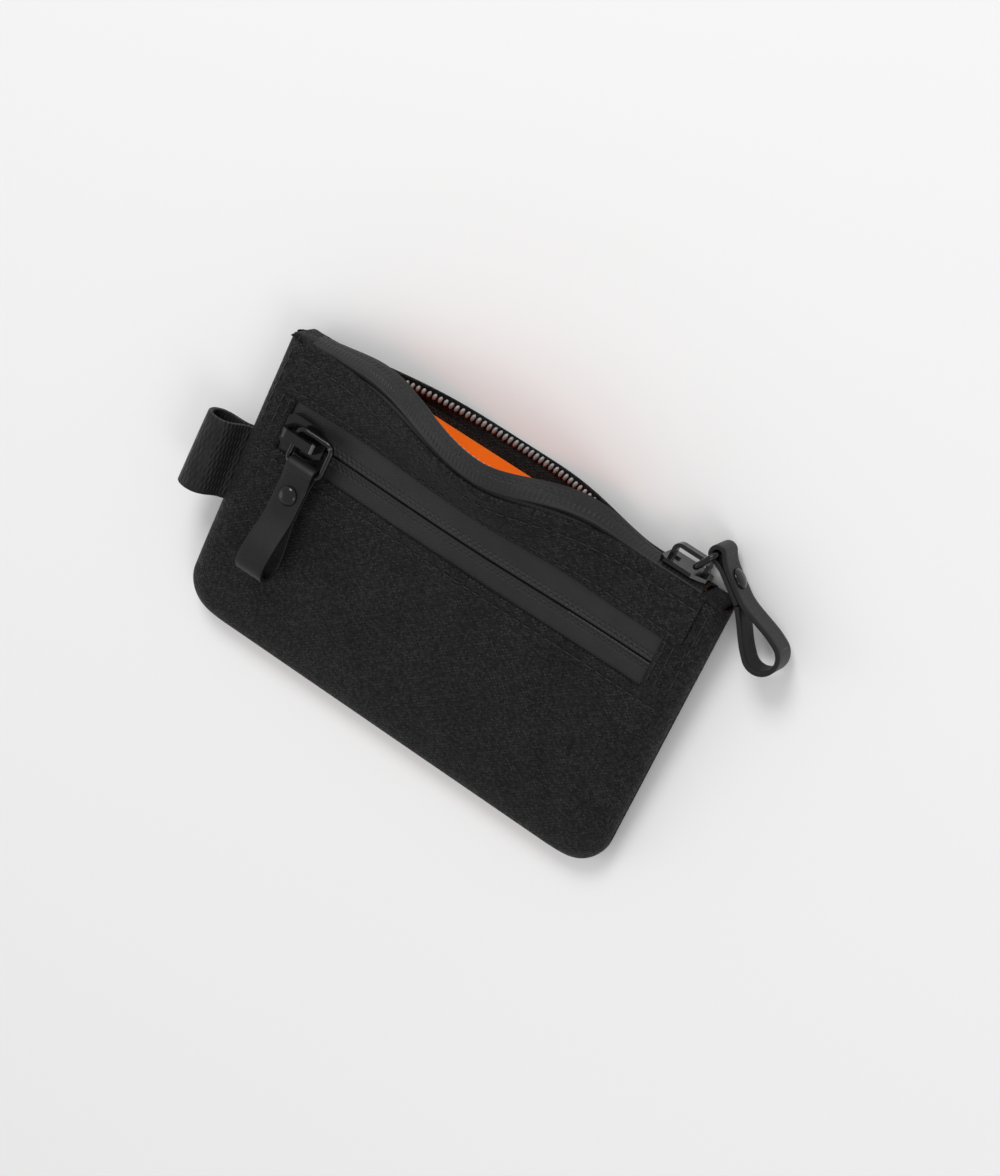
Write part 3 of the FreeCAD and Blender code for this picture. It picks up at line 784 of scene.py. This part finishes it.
for nm, x0, x1, sx in (("left", -54.0, BOW_C, BOW_L), ("right", BOW_C, 54.0, BOW_R)):
    k0, k1 = math.ceil((x0 - 0.01) / 1.5), math.floor((x1 - 0.3) / 1.5)
    xs = [k * 1.5 for k in range(k0, k1 + 1)]

    def bpos(x):
        a = -BACK_TURN * bow(x)
        return turn((38.75, 4.75), PIV_BACK, a), a

    def fpos(x):
        a = LIP_TURN * bow(x)
        return turn((38.7, 7.6), PIV_LIP, a), a
    beads("main_coil_back_" + nm, xs, bpos, (0.56, 0.78, 1.05), 0, M_COIL, ["main_zip_coil_back"])
    beads("main_coil_front_" + nm, [x + 0.75 for x in xs if x + 0.75 < x1], fpos, (0.56, 0.78, 0.9), 0, M_COIL, ["main_zip_coil_front"])


# ------------------------------------------------------------------ pocket zip
def pz(x, y):
    return front_z(x, y) - 0.75


def tape_rows(y, x):
    s = 0.0
    for r, k in ((16.15, 0), (17.0, 0.75), (19.4, 0), (20.25, 0.75)):
        s -= 0.26 * math.exp(-((y - r) / 0.26) ** 2) * dash(x + k)
    s += 0.5 * math.exp(-((y - 18.2) / 2.6) ** 2)
    s -= 0.75 * math.exp(-((y - 18.2) / 0.2) ** 2)
    return s


for nm, y0, y1 in (("lower", 10.4, 18.17), ("upper", 18.23, 25.8)):
    rt, rb = [], []
    n = 52
    for k in range(n + 1):
        y = lerp(y0, y1, k / n)
        xs = [lerp(-54.5, 54.5, i / 436) for i in range(437)]
        rt.append([(x, y, pz(x, y) + tape_rows(y, x)) for x in xs])
        rb.append([(x, y, pz(x, y) - 0.5 + min(0.0, tape_rows(y, x))) for x in xs])
    o = shell("pocket_tape_" + nm, rt, rb, flip=True)
    finish_piece(o, M_TAPE, "root", ["pocket_zip_tape_" + nm])

verts, faces = [], []
for k in range(-32, 35):
    x = k * 1.5
    base = len(verts)
    rows, cols = 5, 8
    for i in range(rows + 1):
        th = math.pi * i / rows
        for j in range(cols):
            ph = 2 * math.pi * j / cols
            verts.append((x + 0.55 * math.sin(th) * math.cos(ph), 18.2 + 1.35 * math.cos(th), pz(x, 18.2) - 1.9 + 0.7 * math.sin(th) * math.sin(ph)))
    for i in range(rows):
        for j in range(cols):
            faces.append((base + i * cols + j, base + (i + 1) * cols + j, base + (i + 1) * cols + (j + 1) % cols, base + i * cols + (j + 1) % cols))
o = obj_from("pocket_coil_beads", verts, faces)
finish_piece(o, M_COIL, "root", ["pocket_zip_coil"])

# ------------------------------------------------------------------ topstitching
def row_on(fn, xs, y, lift=0.1):
    return [((x, y, fn(x, y) + lift), (0, 0, 1)) for x in xs]


xs_all = [lerp(-60.5, 60.5, i / 1200) for i in range(1201)]
st = stitch_row(row_on(low_front, xs_all, LOW_STITCH))
o = capsules("topstitch_pocket_low", st, 0.23)
finish_piece(o, M_THREAD, "root")
for side, nm in ((-1, "left"), (1, "right")):
    ptsv = []
    for xo in (54.4, 56.6):
        ptsv += stitch_row([((side * xo, y, front_z(side * xo, y) + 0.36), (0, 0, 1)) for y in ys_of(12.2, 24.4, 160)])
    ptsv += stitch_row([((side * 59.9, y, front_z(side * 59.9, y) + 0.4), (0.25 * side, 0, 1)) for y in ys_of(13.5, 36.5, 260)])
    o = capsules("topstitch_side_" + nm, ptsv, 0.2)
    finish_piece(o, M_THREAD, "root")

for nm, x0, x1, sx in (("left", -57.0, BOW_C, BOW_L), ("right", BOW_C, 57.0, BOW_R)):
    items = []
    for yt in (WH + 2.1, 35.1):
        pts = []
        for i in range(600):
            x = lerp(x0, x1, i / 599)
            q = fold_closed(x)
            s = (yt - 24.9) / (q[0] - 24.9)
            y, z = flap_closed(x, s)
            a = FLAP_TURN * bow(x)
            n_ = (-math.sin(math.radians(a)), math.cos(math.radians(a)))
            y, z = turn((y, z + 0.1), PIV_FLAP, a)
            pts.append(((x, y, z), (0, n_[0], n_[1])))
        items += stitch_row(pts)
    o = capsules("topstitch_upper_" + nm, items, 0.23)
    finish_piece(o, M_THREAD)
    blend_half(o)


# ------------------------------------------------------------------ end tabs
def tab(name, side, nodes):
    rt, rb = [], []
    for i in range(13):
        x = side * lerp(55.4, 61.8, i / 12)
        ex = min(1.0, (i + 0.001) / 12 / 0.12) if i < 2 else (min(1.0, (12 - i + 0.001) / 12 / 0.12) if i > 10 else 1.0)
        r, b = [], []
        for j in range(17):
            z = lerp(0.9, 11.4, j / 16)
            ez = math.sqrt(max(0, 1 - (2 * j / 16 - 1) ** 6))
            y = 38.2 + (0.45 + 0.6 * ez) * math.sqrt(ex) + 0.2 * n3(x, z, 4, 2.0)
            r.append((x, y, z))
            b.append((x, 37.9, z))
        rt.append(r)
        rb.append(b)
    o = shell(name, rt, rb, flip=(side > 0))
    finish_piece(o, M_NYLON, "root", nodes)


tab("zip_end_cloth_left", -1, ["zip_end_tab_left"])
tab("zip_end_cloth_right", 1, ["zip_end_tab_right"])


# ------------------------------------------------------------------ leather straps, rivets
def strap_path(n=29.6, r=3.5, T=1.2, er=1.05):
    h = T / 2 + 0.02
    cx, ro = n - r - T, r + T / 2
    pts = [(12.2, -h), (9.5, -h), (6.0, -h), (3.4, -h)]
    e = er + T / 2
    for k in range(19):
        a = math.radians(-50 - k * (260 / 18))
        pts.append((e * math.cos(a), e * math.sin(a)))
    pts += [(3.4, h), (6.0, h), (9.0, h), (11.6, h)]
    a0 = 76
    # rise smoothly to the end circle
    tx, ty = cx + ro * math.cos(math.radians(180 - a0)), ro * math.sin(math.radians(a0))
    for k in range(1, 9):
        t = k / 9
        pts.append((lerp(11.6, tx, t), h + (ty - h) * (t * t * (3 - 2 * t) * 0.55 + t * 0.45)))
    for k in range(33):
        a = math.radians(180 - a0 - k * 2 * (180 - a0) / 32)
        pts.append((cx + ro * math.cos(a), ro * math.sin(a)))
    for k in range(8, 0, -1):
        t = k / 9
        pts.append((lerp(11.6, tx, t), -(h + (ty - h) * (t * t * (3 - 2 * t) * 0.55 + t * 0.45))))
    pts.append((12.5, -h))
    return pts


def smooth_path(pts, rounds=2):
    for _ in range(rounds):
        out = [pts[0]]
        for p, q in zip(pts, pts[1:]):
            out += [(0.75 * p[0] + 0.25 * q[0], 0.75 * p[1] + 0.25 * q[1]), (0.25 * p[0] + 0.75 * q[0], 0.25 * p[1] + 0.75 * q[1])]
        out.append(pts[-1])
        pts = out
    return pts


def dome(name, place, R, h, zt, sides=40):
    # domed rivet cap with a rolled rim
    prof = [(0.0, zt + h), (R * 0.3, zt + h * 0.97), (R * 0.58, zt + h * 0.86), (R * 0.8, zt + h * 0.66), (R * 0.93, zt + h * 0.42), (R, zt + h * 0.2), (R * 0.99, zt + 0.02), (R * 0.9, zt - 0.02), (0.0, zt - 0.02)]
    verts, faces = [], []
    for i, (rr, v) in enumerate(prof):
        for j in range(sides):
            a = 2 * math.pi * j / sides
            verts.append(place @ Vector((rr * math.cos(a), v, rr * math.sin(a))))
    for i in range(len(prof) - 1):
        for j in range(sides):
            faces.append((i * sides + j, i * sides + (j + 1) % sides, (i + 1) * sides + (j + 1) % sides, (i + 1) * sides + j))
    return obj_from(name, verts, faces)


def clean(o):
    # merge the coincident points at poles
    import bmesh
    bm = bmesh.new()
    bm.from_mesh(o.data)
    bmesh.ops.remove_doubles(bm, verts=bm.verts, dist=1e-7)
    bmesh.ops.recalc_face_normals(bm, faces=bm.faces)
    bm.to_mesh(o.data)
    bm.free()
    o.data.polygons.foreach_set("use_smooth", [True] * len(o.data.polygons))
    return o


def strap(prefix, place, body):
    path = smooth_path(strap_path(), 2)
    o = clean(sweep(prefix + "_strap_leather", path, 7.7, 1.15, place, bevel=0.22, wobble=lambda t, w: 0.05 * n3(t * 40, w, 5, 3.3)))
    finish_piece(o, M_LEATHER, body, [prefix + "_pull_strap"])
    p2 = place @ Matrix.Translation((7.0, 0, 0))
    o = clean(dome(prefix + "_rivet_dome", p2, 2.5, 1.15, 1.22))
    finish_piece(o, M_RIVET, body, [prefix + "_pull_rivet_cap"])
    flip = p2 @ Matrix.Rotation(math.pi, 4, "X")
    o = clean(dome(prefix + "_rivet_under", flip, 2.4, 0.6, 1.22))
    finish_piece(o, M_RIVET, body, [prefix + "_pull_rivet_back"])


sa = math.radians(-37)
strap("main", mat4((54.6, 48.2462, 6.0), (math.cos(sa), math.sin(sa), 0), (-math.sin(sa), math.cos(sa), 0), (0, 0, 1)), "main_strap")
pt = math.radians(2)
strap("pocket", mat4((-43.1, 12.1, 14.97), (0, -math.cos(pt), math.sin(pt)), (0, math.sin(pt), math.cos(pt)), (-1, 0, 0)), "pocket_strap")

# ------------------------------------------------------------------ webbing loop
ang = math.atan2(6.4, 9.4)
lp = mat4((-62.8, 1.0, 5.9), (-math.cos(ang), 0, math.sin(ang)), (math.sin(ang), 0, math.cos(ang)), (0, 1, 0))
cx, ro = 8.0, 3.0 + 0.6
tri = 68
path = [(-2.2, 0.62), (0.3, 0.62), (1.8, 0.75)]
tx, ty = cx + ro * math.cos(math.radians(180 - tri)), ro * math.sin(math.radians(tri))
for k in range(1, 6):
    t = k / 6
    path.append((lerp(1.8, tx, t), 0.75 + (ty - 0.75) * (0.5 * t + 0.5 * t * t * (3 - 2 * t))))
for k in range(25):
    a = math.radians(180 - tri - k * (2 * (180 - tri)) / 24)
    path.append((cx + ro * math.cos(a), ro * math.sin(a)))
path += [(p[0], -p[1]) for p in reversed(path[:8])]
web = clean(sweep("side_loop_webbing", smooth_path(path, 2), 20.0, 1.2, lp, bevel=0.3, wobble=lambda t, w: 0.09 * n3(t * 30, w, 4, 1.1)))
finish_piece(web, M_WEB, "side_loop", ["side_webbing_loop"])

# ------------------------------------------------------------------ metal pieces keep their CAD shape, with softened edges
for name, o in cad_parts.items():
    if "slider" in name or "ring" in name:
        if len(o.material_slots) == 0:
            o.data.materials.append(M_METAL)
        for s_ in o.material_slots:
            s_.material = M_METAL
        bev = o.modifiers.new("soft_edges", "BEVEL")
        bev.width = 0.00022
        bev.segments = 3
        bev.limit_method = "ANGLE"
        bev.angle_limit = math.radians(35)
